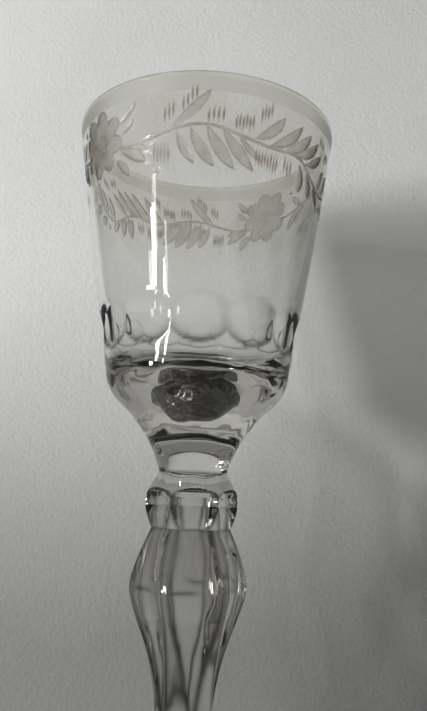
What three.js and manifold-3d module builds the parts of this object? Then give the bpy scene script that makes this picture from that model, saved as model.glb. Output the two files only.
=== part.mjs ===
// A footed drinking glass with a cut bowl, a cut knop and a six-sided baluster stem.
// Millimetres, +Z up. The foot rests on z = 0 and the rim is the highest point.
// Each piece is drawn from its own lower joint face, and the stack below places it.

import * as THREE from 'three';
import { mergeVertices } from 'three/addons/utils/BufferGeometryUtils.js';
import Module from 'manifold-3d';

const wasm = await Module();
wasm.setup();

// Heights of the five gathers of glass, from the table up
const footHeight = 17;
const baseKnopHeight = 8;
const stemHeight = 57.5;
const knopHeight = 15.9;
const bowlHeight = 106.6;

// Radii of the flat faces where one gather is fused to the next
const bowlJointRadius = 10;
const knopJointRadius = 11.6;
const stemJointRadius = 7.5;
const footJointRadius = 9;

// Bowl, outside: a tapering wall, a soft corner and a sweep down to the knop
const rimRadius = 40;
const wallBulge = 0.45;
const shoulderRadius = 27.6;
const shoulderHeight = 29.6;
const cornerRadius = 26.9;
const cornerHeight = 22.6;
const baseRadius = 23.3;
const baseHeight = 19.6;
const sweepRadius = 13.3;
const sweepHeight = 12.2;

// Bowl, inside: the wall thickens downward, and the floor dips to a round well
const rimWall = 1.5;
const lowerWall = 3.1;
const cavityWallHeight = 37;
const floorHeight = 28.6;
const floorRadius = 16.5;
const wellEdgeRadius = 11.5;
const wellLipRadius = 7.9;
const wellRadius = 7.5;
const wellWallHeight = 26.2;
const wellBottomRadius = 7.1;
const wellFloorHeight = 19.4;

// Hollow lenses ground round the lower wall, and tongues ground over the corner below them
const lensCount = 12;
const lensHeight = 40.6;
const lensDepth = 1.25;
const lensWheelRadius = 20;
const lensWheelWidth = 24;
const tongueDepth = 0.8;
const tongueTopHeight = 27.6;
const tongueTipHeight = 12;

// Knop: a round ball, ground hollow below its shoulder by the six facets of the stem
const knopRadius = 13.7;
const knopWidestHeight = 7.8;
const knopShoulderHeight = 10.5;
const knopUnderHeight = 4.5;
const knopFacetDistance = 10.6;
const knopFacetHeight = 6.5;
const knopFacetBendRadius = 11;
const knopFacetBendHeight = 10.4;
const knopFacetTopHeight = 11.2;

// Stem: an upside-down baluster, turned first and then ground with six hollow facets.
// A facet's distances run from the stem's axis to the hollow's deepest line.
const facetCount = 6;
const balusterRadius = 17;
const balusterHeight = 41;
const balusterUpperHeight = 45.8;
const balusterLowerHeight = 38;
const flankRadius = 13.5;
const flankHeight = 29.7;
const taperRadius = 9.2;
const taperHeight = 19.4;
const narrowRadius = 8.1;
const narrowHeight = 8.7;
const stemWaistRadius = 7.2;
const stemWaistHeight = 3.5;
const facetAxisDistance = 27;
const jointFacetDistance = 10.4;
const upperFacetDistance = 14.2;
const upperFacetHeight = 50.5;
const ridgeFacetDistance = 13;
const lowerFacetDistance = 11.9;
const lowerFacetHeight = 33;
const flankFacetDistance = 10.75;
const flankFacetHeight = 25.9;
const tipFacetDistance = 10.4;
const tipFacetHeight = 19;
const tipEndDistance = 8.2;
const tipEndHeight = 7.7;

// Base knop: a flattened ball between the stem and the foot
const baseKnopRadius = 11.5;
const baseKnopUnderHeight = 1.2;
const baseKnopWidestHeight = 4;
const baseKnopShoulderHeight = 7.4;

// Foot: a low cone with a flat resting ring and a ground dimple underneath
const footRadius = 38;
const footEdgeThickness = 3.2;
const footSweepRadius = 12;
const footSweepHeight = 6.2;
const footShelfRadius = 34;
const restingInnerRadius = 34;
const restingOuterRadius = 36.8;
const hollowRadius = 9;
const hollowHeight = 3.6;
const dimpleDepth = 1.2;

// Fineness of the round faces
const sides = 48;
const longCurveSteps = 7;
const shortCurveSteps = 4;
const tongueSteps = 10;
const wheelSides = 72;
const hollowSides = 60;
const facetSteps = 9;
const cutReach = 40;
const cutLeave = 0.8;
const mergeTolerance = 1e-4;
const frontAngle = -Math.PI / 2;

// Where each gather sits on the one below it
const baseKnopBase = footHeight;
const stemBase = baseKnopBase + baseKnopHeight;
const knopBase = stemBase + stemHeight;
const bowlBase = knopBase + knopHeight;

function point(radius, height) {
  return new THREE.Vector2(radius, height);
}

function straight(from, to) {
  return { curve: new THREE.LineCurve(from, to), steps: 1 };
}

function bend(from, through, to, steps) {
  return { curve: new THREE.QuadraticBezierCurve(from, through, to), steps };
}

function outline(stretches) {
  const points = [];
  for (const { curve, steps } of stretches) {
    for (const place of curve.getPoints(steps)) {
      const last = points.at(-1);
      if (!last || last.distanceTo(place) > mergeTolerance) {
        points.push(place);
      }
    }
  }
  return points;
}

function toSolid(geometry) {
  geometry.deleteAttribute('normal');
  geometry.deleteAttribute('uv');
  const merged = mergeVertices(geometry, mergeTolerance);
  const corners = merged.index.array;
  const kept = [];
  for (let i = 0; i < corners.length; i += 3) {
    const [a, b, c] = [corners[i], corners[i + 1], corners[i + 2]];
    if (a !== b && b !== c && c !== a) {
      kept.push(a, b, c);
    }
  }
  const mesh = new wasm.Mesh({
    numProp: 3,
    vertProperties: new Float32Array(merged.attributes.position.array),
    triVerts: new Uint32Array(kept),
  });
  return new wasm.Manifold(mesh);
}

function toGeometry(solid) {
  const mesh = solid.getMesh();
  const geometry = new THREE.BufferGeometry();
  geometry.setAttribute('position', new THREE.BufferAttribute(new Float32Array(mesh.vertProperties), 3));
  geometry.setIndex(new THREE.BufferAttribute(new Uint32Array(mesh.triVerts), 1));
  geometry.computeVertexNormals();
  return geometry;
}

// A profile of radius and height, spun about the upright axis
function turned(stretches) {
  const geometry = new THREE.LatheGeometry(outline(stretches), sides);
  geometry.rotateX(Math.PI / 2);
  return toSolid(geometry);
}

// A grinding wheel lying across the piece, its centre at a radius and height
function wheelCutter(wheelRadius, centre) {
  const geometry = new THREE.CylinderGeometry(wheelRadius, wheelRadius, lensWheelWidth, wheelSides);
  geometry.translate(centre.x, 0, centre.y);
  return toSolid(geometry);
}

// Everything outside a line of radius and height, as wide as a flat cut needs
function facetCutter(line) {
  const shape = new THREE.Shape(line);
  shape.lineTo(cutReach, line.at(-1).y);
  shape.lineTo(cutReach, line[0].y);
  shape.closePath();
  const geometry = new THREE.ExtrudeGeometry(shape, { depth: cutReach, bevelEnabled: false });
  geometry.rotateX(Math.PI / 2);
  geometry.translate(0, cutReach / 2, 0);
  return toSolid(geometry);
}

// An upright wheel outside the piece that leaves a hollow facet, as deep as its line of distances
function hollowCutter(stretches) {
  const line = outline(stretches);
  const profile = [
    point(0, line[0].y),
    ...line.map((place) => point(facetAxisDistance - place.x, place.y)),
    point(0, line.at(-1).y),
  ];
  const geometry = new THREE.LatheGeometry(profile, hollowSides);
  geometry.rotateX(Math.PI / 2);
  geometry.translate(facetAxisDistance, 0, 0);
  return toSolid(geometry);
}

function cutRound(solid, cutter, count) {
  let result = solid;
  for (let i = 0; i < count; i += 1) {
    const angle = THREE.MathUtils.radToDeg(frontAngle + (i * 2 * Math.PI) / count);
    result = result.subtract(cutter.rotate([0, 0, angle]));
  }
  return result;
}

// The radius of an outline that rises all the way, at one height
function radiusAt(line, height) {
  const above = line.findIndex((place) => place.y >= height);
  const low = line[above - 1];
  const high = line[above];
  return THREE.MathUtils.mapLinear(height, low.y, high.y, low.x, high.x);
}

// The floor of one tongue: the outside of the bowl, sunk most half way along
function tongueFloor(outside) {
  const line = [];
  for (let i = 0; i <= tongueSteps; i += 1) {
    const along = i / tongueSteps;
    const height = THREE.MathUtils.lerp(tongueTipHeight, tongueTopHeight, along);
    const sink = (tongueDepth + cutLeave) * Math.sin(Math.PI * along) - cutLeave;
    line.push(point(radiusAt(outside, height) - sink, height));
  }
  return line;
}

function makeBowl() {
  const lip = rimWall / 2;
  const lipHeight = bowlHeight - lip;
  const joint = point(bowlJointRadius, 0);
  const base = point(baseRadius, baseHeight);
  const corner = point(cornerRadius, cornerHeight);
  const shoulder = point(shoulderRadius, shoulderHeight);
  const rim = point(rimRadius, lipHeight);
  const wallMiddle = shoulder.clone().lerp(rim, 0.5).add(point(2 * wallBulge, 0));
  const outside = [
    bend(joint, point(sweepRadius, sweepHeight), base, longCurveSteps),
    bend(base, corner, shoulder, longCurveSteps),
    bend(shoulder, wallMiddle, rim, longCurveSteps),
  ];
  const outsideLine = outline(outside);

  const innerRim = point(rimRadius - rimWall, lipHeight);
  const cavityWall = point(radiusAt(outsideLine, cavityWallHeight) - lowerWall, cavityWallHeight);
  const innerMiddle = cavityWall.clone().lerp(innerRim, 0.5).add(point(2 * wallBulge, 0));
  const innerSlope = (innerRim.x - cavityWall.x) / (innerRim.y - cavityWall.y);
  const floor = point(floorRadius, floorHeight);
  const floorCorner = point(cavityWall.x - innerSlope * (cavityWallHeight - floorHeight), floorHeight);
  const wellEdge = point(wellEdgeRadius, floorHeight);
  const wellLip = point(wellLipRadius, floorHeight);
  const wellWall = point(wellRadius, wellWallHeight);
  const wellBottom = point(wellBottomRadius, wellFloorHeight);
  const wellFloor = point(0, wellFloorHeight);

  const lipCurve = new THREE.EllipseCurve(rimRadius - lip, lipHeight, lip, lip, 0, Math.PI);
  const blank = turned([
    straight(point(0, 0), joint),
    ...outside,
    { curve: lipCurve, steps: shortCurveSteps },
    bend(innerRim, innerMiddle, cavityWall, longCurveSteps),
    bend(cavityWall, floorCorner, floor, shortCurveSteps),
    straight(floor, wellEdge),
    bend(wellEdge, wellLip, wellWall, shortCurveSteps),
    bend(wellWall, wellBottom, wellFloor, shortCurveSteps),
  ]);

  const wallSlope = (rim.x - shoulder.x) / (rim.y - shoulder.y);
  const outward = point(1, -wallSlope).normalize();
  const lens = point(radiusAt(outsideLine, lensHeight), lensHeight);
  lens.addScaledVector(outward, lensWheelRadius - lensDepth);
  const withLenses = cutRound(blank, wheelCutter(lensWheelRadius, lens), lensCount);
  return cutRound(withLenses, facetCutter(tongueFloor(outsideLine)), lensCount);
}

function makeKnop() {
  const under = point(knopJointRadius, 0);
  const widest = point(knopRadius, knopWidestHeight);
  const top = point(bowlJointRadius, knopHeight);
  const blank = turned([
    straight(point(0, 0), under),
    bend(under, point(knopRadius, knopUnderHeight), widest, shortCurveSteps),
    bend(widest, point(knopRadius, knopShoulderHeight), top, longCurveSteps),
    straight(top, point(0, knopHeight)),
  ]);
  const face = point(knopFacetDistance, knopFacetHeight);
  const faceTop = point(knopRadius + cutLeave, knopFacetTopHeight);
  const joint = point(jointFacetDistance, 0);
  const facet = [
    straight(point(jointFacetDistance, -cutLeave), joint),
    straight(joint, face),
    bend(face, point(knopFacetBendRadius, knopFacetBendHeight), faceTop, shortCurveSteps),
  ];
  return cutRound(blank, hollowCutter(facet), facetCount);
}

function makeStem() {
  const foot = point(stemJointRadius, 0);
  const narrow = point(narrowRadius, narrowHeight);
  const flank = point(flankRadius, flankHeight);
  const widest = point(balusterRadius, balusterHeight);
  const top = point(knopJointRadius, stemHeight);
  const blank = turned([
    straight(point(0, 0), foot),
    bend(foot, point(stemWaistRadius, stemWaistHeight), narrow, shortCurveSteps),
    bend(narrow, point(taperRadius, taperHeight), flank, longCurveSteps),
    bend(flank, point(balusterRadius, balusterLowerHeight), widest, shortCurveSteps),
    bend(widest, point(balusterRadius, balusterUpperHeight), top, longCurveSteps),
    straight(top, point(0, stemHeight)),
  ]);
  const tip = point(tipEndDistance, tipEndHeight);
  const flankCut = point(flankFacetDistance, flankFacetHeight);
  const ridge = point(ridgeFacetDistance, balusterHeight);
  const joint = point(jointFacetDistance, stemHeight);
  const facet = [
    bend(tip, point(tipFacetDistance, tipFacetHeight), flankCut, longCurveSteps),
    bend(flankCut, point(lowerFacetDistance, lowerFacetHeight), ridge, shortCurveSteps),
    bend(ridge, point(upperFacetDistance, upperFacetHeight), joint, facetSteps),
    straight(joint, point(jointFacetDistance, stemHeight + cutLeave)),
  ];
  return cutRound(blank, hollowCutter(facet), facetCount);
}

function makeBaseKnop() {
  const under = point(footJointRadius, 0);
  const widest = point(baseKnopRadius, baseKnopWidestHeight);
  const top = point(stemJointRadius, baseKnopHeight);
  return turned([
    straight(point(0, 0), under),
    bend(under, point(baseKnopRadius, baseKnopUnderHeight), widest, shortCurveSteps),
    bend(widest, point(baseKnopRadius, baseKnopShoulderHeight), top, shortCurveSteps),
    straight(top, point(0, baseKnopHeight)),
  ]);
}

function makeFoot() {
  const restOuter = point(restingOuterRadius, 0);
  const edge = point(footRadius, footEdgeThickness / 2);
  const shelf = point(footShelfRadius, footEdgeThickness);
  const top = point(footJointRadius, footHeight);
  return turned([
    straight(point(0, hollowHeight + dimpleDepth), point(hollowRadius, hollowHeight)),
    straight(point(hollowRadius, hollowHeight), point(restingInnerRadius, 0)),
    straight(point(restingInnerRadius, 0), restOuter),
    bend(restOuter, point(footRadius, 0), edge, shortCurveSteps),
    bend(edge, point(footRadius, footEdgeThickness), shelf, shortCurveSteps),
    bend(shelf, point(footSweepRadius, footSweepHeight), top, longCurveSteps),
    straight(top, point(0, footHeight)),
  ]);
}

function glassMaterial(red, green, blue) {
  return new THREE.MeshStandardMaterial({
    color: new THREE.Color(red, green, blue),
    roughness: 0.06,
    metalness: 0,
    transparent: true,
    opacity: 0.5,
  });
}

function place(name, solid, base, material) {
  const mesh = new THREE.Mesh(toGeometry(solid), material);
  mesh.name = name;
  mesh.position.z = base;
  return mesh;
}

const glass = new THREE.Group();
glass.add(place('foot', makeFoot(), 0, glassMaterial(0.72, 0.73, 0.7)));
glass.add(place('base_knop', makeBaseKnop(), baseKnopBase, glassMaterial(0.7, 0.71, 0.68)));
glass.add(place('baluster_stem', makeStem(), stemBase, glassMaterial(0.68, 0.69, 0.66)));
glass.add(place('knop', makeKnop(), knopBase, glassMaterial(0.66, 0.67, 0.64)));
glass.add(place('bowl', makeBowl(), bowlBase, glassMaterial(0.74, 0.75, 0.72)));

export default glass;
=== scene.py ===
import bpy
import math
import numpy as np
from mathutils import Vector, Matrix


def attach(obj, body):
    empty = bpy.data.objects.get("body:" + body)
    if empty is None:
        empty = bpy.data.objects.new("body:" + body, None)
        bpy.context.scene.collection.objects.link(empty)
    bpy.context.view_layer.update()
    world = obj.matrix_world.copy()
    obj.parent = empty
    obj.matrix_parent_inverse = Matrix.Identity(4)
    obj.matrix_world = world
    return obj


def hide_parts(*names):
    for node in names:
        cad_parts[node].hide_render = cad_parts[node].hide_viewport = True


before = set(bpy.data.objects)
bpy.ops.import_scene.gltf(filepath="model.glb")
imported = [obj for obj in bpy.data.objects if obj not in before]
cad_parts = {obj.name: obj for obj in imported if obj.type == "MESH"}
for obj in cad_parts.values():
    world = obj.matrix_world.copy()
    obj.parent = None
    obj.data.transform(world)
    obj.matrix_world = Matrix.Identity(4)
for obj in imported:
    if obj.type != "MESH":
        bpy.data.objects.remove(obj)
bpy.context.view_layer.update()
mm = 0.001
poleRadius = 0.4   # mm, the last ring before a surface closes on the axis
hair = 0.01   # mm, less than any step between rows
farOut = 99.0   # mm, past every piece
mergedWithin = 1e-7   # metres
ringSlack = {"height": 2e-6, "own": 2e-5, "joined": 4e-4}   # metres, how far off a ring's points may lie
discCorners = 100   # only the flat joint faces have more corners than this


# Helpers for turning a piece ring by ring
def bend(start, through, end, steps):
    # a smooth curve of (radius, height), without its first point
    line = []
    for i in range(1, steps + 1):
        t = i / steps
        line.append(tuple(
            (1 - t) ** 2 * a + 2 * t * (1 - t) * b + t * t * c for a, b, c in zip(start, through, end)))
    return line


def spread(line, spacing):
    # the same line with its points a given distance apart, so that the mesh is even
    radii, heights = np.array(line, float).T
    along = np.concatenate([[0], np.cumsum(np.hypot(np.diff(radii), np.diff(heights)))])
    count = max(1, round(along[-1] / spacing))
    places = np.linspace(0, along[-1], count + 1)
    return [(float(np.interp(place, along, radii)), float(np.interp(place, along, heights)))
            for place in places]


def lift(line, bottom):
    return [(radius, height + bottom) for radius, height in line]


def radiusAt(line, height):
    # the radius of a rising line of (radius, height) at one height or at many
    radii, heights = np.array(line).T
    return np.interp(height, heights, radii)


def startPiece(name, columns, radius, height):
    # the first ring, at its size and place
    bpy.ops.object.select_all(action="DESELECT")
    bpy.ops.mesh.primitive_circle_add(vertices=columns, radius=radius * mm, location=(0, 0, height * mm))
    piece = bpy.context.object
    piece.name = name
    piece.data.name = name
    bpy.ops.object.transform_apply(location=True, rotation=True, scale=True)
    bpy.ops.object.mode_set(mode="EDIT")
    bpy.ops.mesh.select_all(action="SELECT")
    return piece


def turnTo(line, before):
    # each ring is extruded from the last one, lifted and scaled
    radius, height = before
    for nextRadius, nextHeight in line:
        rise = (0, 0, (nextHeight - height) * mm)
        bpy.ops.mesh.extrude_region_move(TRANSFORM_OT_translate={"value": rise})
        grow = nextRadius / radius
        bpy.ops.transform.resize(value=(grow, grow, 1), center_override=(0, 0, nextHeight * mm))
        radius, height = nextRadius, nextHeight


def selectRings(piece, rings, slack):
    # the edges of rings given as (radius, height), found by their place
    bpy.ops.object.mode_set(mode="OBJECT")
    mesh = piece.data
    places = getPlaces(piece)
    away = np.hypot(places[:, 0], places[:, 1])
    chosen = np.zeros(len(places), bool)
    for radius, height in rings:
        level = abs(places[:, 2] - height * mm) < ringSlack["height"]
        chosen |= level & (abs(away - radius * mm) < slack)
    ends = np.zeros(len(mesh.edges) * 2, int)
    mesh.edges.foreach_get("vertices", ends)
    mesh.vertices.foreach_set("select", chosen)
    mesh.edges.foreach_set("select", chosen[ends.reshape(-1, 2)].all(1))
    mesh.polygons.foreach_set("select", np.zeros(len(mesh.polygons), bool))
    bpy.ops.object.mode_set(mode="EDIT")
    bpy.ops.mesh.select_mode(type="EDGE")


def turnPiece(name, columns, line, capStart=True, capEnd=True):
    piece = startPiece(name, columns, *line[0])
    bpy.ops.mesh.select_mode(type="EDGE")
    turnTo(line[1:], line[0])
    for wanted, ring in ((capStart, line[0]), (capEnd, line[-1])):
        if wanted:
            selectRings(piece, [ring], ringSlack["own"])
            bpy.ops.mesh.edge_face_add()
    bpy.ops.object.mode_set(mode="OBJECT")
    return piece


def closeOnAxis(piece, ring):
    # a small ring is drawn together to one point
    selectRings(piece, [ring], ringSlack["own"])
    bpy.ops.mesh.merge(type="CENTER")
    bpy.ops.object.mode_set(mode="OBJECT")


def getPlaces(piece):
    places = np.zeros(len(piece.data.vertices) * 3)
    piece.data.vertices.foreach_get("co", places)
    return places.reshape(-1, 3)


def setRadius(piece, places, radius):
    angle = np.arctan2(places[:, 1], places[:, 0])
    places[:, 0] = radius * np.cos(angle)
    places[:, 1] = radius * np.sin(angle)
    piece.data.vertices.foreach_set("co", places.ravel())
    piece.data.update()


def softLeast(a, b, soft):
    # the smaller of two surfaces, with the edge between them rounded as fire polish leaves it
    mix = np.clip(0.5 + 0.5 * (b - a) / soft, 0, 1)
    return b * (1 - mix) + a * mix - soft * mix * (1 - mix)


def setAttribute(piece, name, values):
    attribute = piece.data.attributes.new(name, "FLOAT", "POINT")
    attribute.data.foreach_set("value", values.astype(np.float32))


def setPaintedShade(piece, tone):
    # painted shade: how dark the glass is painted along a cut edge, kept with each point
    setAttribute(piece, "paintedEdgeShade", np.clip(tone, 0, 1))


jointLine = {"tone": 0.75, "reach": 0.45}   # painted shade along the fold where one gather meets the next


def jointShade(height, joint):
    return np.exp(-((height - joint) / jointLine["reach"]) ** 2) * jointLine["tone"]


def turnFromFront(places):
    # angle round the axis in radians, 0 at the front, growing to the right
    return np.arctan2(places[:, 0], -places[:, 1])


def finishPiece(piece, smoothUnder=40):
    bpy.ops.object.select_all(action="DESELECT")
    piece.select_set(True)
    bpy.context.view_layer.objects.active = piece
    bpy.ops.object.mode_set(mode="EDIT")
    bpy.ops.mesh.select_all(action="SELECT")
    bpy.ops.mesh.remove_doubles(threshold=mergedWithin)
    bpy.ops.mesh.normals_make_consistent(inside=False)
    bpy.ops.mesh.select_all(action="DESELECT")
    bpy.ops.object.mode_set(mode="OBJECT")
    bpy.ops.object.shade_smooth_by_angle(angle=math.radians(smoothUnder))


# Helpers for shader nodes
def makeGroup(name, inputs, outputs):
    group = bpy.data.node_groups.new(name, "ShaderNodeTree")
    for label, value in inputs:
        socket = group.interface.new_socket(name=label, in_out="INPUT", socket_type="NodeSocketFloat")
        socket.default_value = value
    for label in outputs:
        group.interface.new_socket(name=label, in_out="OUTPUT", socket_type="NodeSocketFloat")
    return group, group.nodes.new("NodeGroupInput"), group.nodes.new("NodeGroupOutput")


def addNode(tree, kind, **values):
    node = tree.nodes.new(kind)
    for key, value in values.items():
        if hasattr(node, key):
            setattr(node, key, value)
        else:
            node.inputs[key].default_value = value
    return node


def addMath(tree, operation, first, second=0.0, clamp=False):
    node = tree.nodes.new("ShaderNodeMath")
    node.operation = operation
    node.use_clamp = clamp
    for socket, value in zip(node.inputs, (first, second)):
        if isinstance(value, (int, float)):
            socket.default_value = value
        else:
            tree.links.new(value, socket)
    return node.outputs[0]


def times(tree, first, second):
    return addMath(tree, "MULTIPLY", first, second)


def addRamp(tree, value, low, high, toLow=0.0, toHigh=1.0):
    node = tree.nodes.new("ShaderNodeMapRange")
    node.interpolation_type = "SMOOTHSTEP"
    for socket, number in zip(node.inputs[1:5], (low, high, toLow, toHigh)):
        socket.default_value = number
    tree.links.new(value, node.inputs[0])
    return node.outputs[0]


def addNoise(tree, place, stretch, scale, detail):
    mapping = addNode(tree, "ShaderNodeMapping", Scale=stretch)
    tree.links.new(place, mapping.inputs["Vector"])
    noise = addNode(tree, "ShaderNodeTexNoise", Scale=scale, Detail=detail)
    tree.links.new(mapping.outputs[0], noise.inputs["Vector"])
    return noise.outputs["Fac"]


def readPlace(tree):
    return tree.nodes.new("ShaderNodeTexCoord").outputs["Object"]


def splitPlace(tree, place):
    split = tree.nodes.new("ShaderNodeSeparateXYZ")
    tree.links.new(place, split.inputs[0])
    return split.outputs


def readAttribute(tree, name):
    return addNode(tree, "ShaderNodeAttribute", attribute_name=name).outputs["Fac"]


def addGroup(tree, group, **values):
    node = tree.nodes.new("ShaderNodeGroup")
    node.node_tree = group
    for key, value in values.items():
        node.inputs[key].default_value = value
    return node


def mixColour(tree, factor, first, second):
    node = tree.nodes.new("ShaderNodeMix")
    node.data_type = "RGBA"
    for socket, value in ((node.inputs[0], factor), (node.inputs[6], first), (node.inputs[7], second)):
        if isinstance(value, tuple):
            socket.default_value = (*value, 1)
        else:
            tree.links.new(value, socket)
    return node.outputs[2]


def addBump(tree, height, distance, shader=None, before=None):
    bump = addNode(tree, "ShaderNodeBump", Strength=1.0, Distance=distance)
    tree.links.new(height, bump.inputs["Height"])
    if before:
        tree.links.new(before, bump.inputs["Normal"])
    if shader:
        tree.links.new(bump.outputs[0], shader.inputs["Normal"])
    return bump.outputs[0]


# Shader groups. A noise is its stretch along each axis, its scale and its detail
wearForm = {
    "waves": ((1, 1, 0.6), 55, 1.0), "lines": ((0.25, 0.25, 3), 160, 2.0), "lineHeight": 0.12,
    "thin": ((1, 0.3, 5), 900, 3.0), "thinRange": (0.66, 0.74),
    "slanted": ((6, 1, 0.4), 500, 3.0), "slantedRange": (0.69, 0.76),
    "scratchDepth": 0.05, "scratchRough": 0.25, "scratchTone": 0.4,
    "dots": 420.0, "dotRange": (0.13, 0.06), "patches": ((1, 1, 1), 130, 2.0), "dotPatches": (0.52, 0.62),
    "speckHeight": 0.15, "speckRough": 0.5, "film": 0.03, "filmPatches": (0.4, 0.8),
}


def makeGlassWear(form):
    # slow waves and drawn lines of hand-made glass, fine scratches and specks of dust
    inputs = [("Waves", 1), ("Lines", 1), ("Scratches", 0.5), ("Specks", 0.5)]
    group, given, result = makeGroup("glassWear", inputs, ["Height", "Roughness", "Tone"])
    place = readPlace(group)
    waves = times(group, addNoise(group, place, *form["waves"]), given.outputs["Waves"])
    lines = times(group, addNoise(group, place, *form["lines"]), given.outputs["Lines"])
    thin = addRamp(group, addNoise(group, place, *form["thin"]), *form["thinRange"])
    slanted = addRamp(group, addNoise(group, place, *form["slanted"]), *form["slantedRange"])
    scratch = addMath(group, "MAXIMUM", thin, slanted)
    scratch = times(group, scratch, given.outputs["Scratches"])
    cells = addNode(group, "ShaderNodeTexVoronoi", Scale=form["dots"])
    group.links.new(place, cells.inputs["Vector"])
    patches = addNoise(group, place, *form["patches"])
    dots = addRamp(group, cells.outputs["Distance"], *form["dotRange"])
    specks = times(group, dots, addRamp(group, patches, *form["dotPatches"]))
    specks = times(group, specks, given.outputs["Specks"])
    height = addMath(group, "ADD", waves, times(group, lines, form["lineHeight"]))
    height = addMath(group, "SUBTRACT", height, times(group, scratch, form["scratchDepth"]))
    height = addMath(group, "ADD", height, times(group, specks, form["speckHeight"]))
    rough = addMath(group, "ADD", times(group, scratch, form["scratchRough"]),
                    times(group, specks, form["speckRough"]))
    film = times(group, addRamp(group, patches, *form["filmPatches"]), form["film"])
    tone = addMath(group, "MAXIMUM", specks, times(group, scratch, form["scratchTone"]))
    group.links.new(height, result.inputs["Height"])
    group.links.new(addMath(group, "ADD", rough, film), result.inputs["Roughness"])
    group.links.new(tone, result.inputs["Tone"])
    return group


grindForm = {
    "grain": ((1, 1, 1), 2600, 3.0), "drag": ((1, 1, 4), 700, 2.0), "cloud": ((1, 1, 1), 260, 2.0),
    "dragHeight": 0.5, "roughRange": (0.3, 0.7, 0.34, 0.5), "toneRange": (0.7, 1.3, 0.6, 1.0),
}


def makeGrindGrain(form):
    # the fine grain and drag marks that a grinding wheel leaves
    inputs = [("Mask", 1), ("Coarseness", 1)]
    group, given, result = makeGroup("grindGrain", inputs, ["Height", "Roughness", "Tone"])
    place = readPlace(group)
    grain, drag, cloud = [addNoise(group, place, *form[name]) for name in ("grain", "drag", "cloud")]
    height = addMath(group, "ADD", times(group, grain, given.outputs["Coarseness"]),
                     times(group, drag, form["dragHeight"]))
    rough = addRamp(group, cloud, *form["roughRange"])
    tone = addRamp(group, addMath(group, "ADD", drag, cloud), *form["toneRange"])
    for name, value in (("Height", height), ("Roughness", rough), ("Tone", tone)):
        group.links.new(times(group, value, given.outputs["Mask"]), result.inputs[name])
    return group


glassWear = makeGlassWear(wearForm)
grindGrain = makeGrindGrain(grindForm)


# Finishes
# thick places look darker than thin ones
glassBody = {"ior": 1.5, "density": 26.0, "colour": (0.735, 0.712, 0.675)}


def startGlass(name, colour):
    material = bpy.data.materials.new(name)
    material.use_nodes = True
    tree = material.node_tree
    shader = tree.nodes["Principled BSDF"]
    shader.inputs["Transmission Weight"].default_value = 1.0
    shader.inputs["Metallic"].default_value = 0.0
    shader.inputs["IOR"].default_value = glassBody["ior"]
    shader.inputs["Base Color"].default_value = (*colour, 1)
    return material, tree, shader


def addBody(tree):
    body = tree.nodes.new("ShaderNodeVolumeAbsorption")
    body.inputs["Density"].default_value = glassBody["density"]
    body.inputs["Color"].default_value = (*glassBody["colour"], 1)
    tree.links.new(body.outputs[0], tree.nodes["Material Output"].inputs["Volume"])


def addWear(tree, look):
    names = ("Waves", "Lines", "Scratches", "Specks")
    return addGroup(tree, glassWear, **{name: look[name] for name in names})


def dustAndPaintedShadeColour(tree, wear, look):
    # clear glass, dull where dust lies, with painted shade along the cut edges
    colour = mixColour(tree, wear.outputs["Tone"], look["colour"], look["dust"])
    return mixColour(tree, readAttribute(tree, "paintedEdgeShade"), colour, look["edge"])


clearLook = {   # bump and swirl heights are in mm
    # edge is the colour of the painted shade along cut edges, folds and joints
    "colour": (0.957, 0.957, 0.947), "dust": (0.72, 0.70, 0.65), "edge": (0.045, 0.042, 0.038),
    "Waves": 1.0, "Lines": 1.0, "Scratches": 0.25, "Specks": 0.25, "bump": 0.06,
    "swirl": 1.5, "swirlNoise": ((1, 1, 0.55), 120, 1.0),
}


def makeClearGlass(name, look):
    material, tree, shader = startGlass(name, look["colour"])
    wear = addWear(tree, look)
    tree.links.new(dustAndPaintedShadeColour(tree, wear, look), shader.inputs["Base Color"])
    tree.links.new(wear.outputs["Roughness"], shader.inputs["Roughness"])
    waved = addBump(tree, wear.outputs["Height"], look["bump"] * mm)
    swirl = addNoise(tree, readPlace(tree), *look["swirlNoise"])
    addBump(tree, swirl, look["swirl"] * mm, shader, waved)
    addBody(tree)
    return material


engravedLook = {   # heights and depths are in mm
    # the matte edge and deep colours are painted shade, at the edges of the carved strokes and in the deep
    # strokes
    "matte": (0.47, 0.43, 0.36), "paintedMatteEdgeShade": (0.28, 0.24, 0.185), "deep": (0.20, 0.155, 0.115),
    "maskRange": (0.93, 1.1), "matteRange": (1.15, 1.75), "grainHeight": 0.04,
    "rimHeight": 205.0, "streaks": ((0.35, 0.35, 6), 300, 3.0), "ragged": 1.2,
    "band": (0.74, 0.715, 0.65), "bandTop": (1.3, 1.9), "bandBottom": (6.2, 5.5),
    "satinRange": (0.3, 0.7, 0.75, 1.0), "satinRough": 0.4,
    "film": (0.80, 0.765, 0.69), "filmHeights": (38.0, 20.0), "cloud": ((1, 1, 1), 60, 3.0),
    "cloudRange": (0.3, 0.65, 0.25, 0.8),
    "swirl": 0.8, "swirlNoise": ((1, 1, 1.5), 100, 1.0),
    "swirlTop": (134.0, 127.0), "swirlFoot": (104.5, 111.5),
}


def rampBetween(tree, value, span):
    # 0 to 1 from the first to the second of two lengths in mm
    return addRamp(tree, value, span[0] * mm, span[1] * mm)


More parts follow.
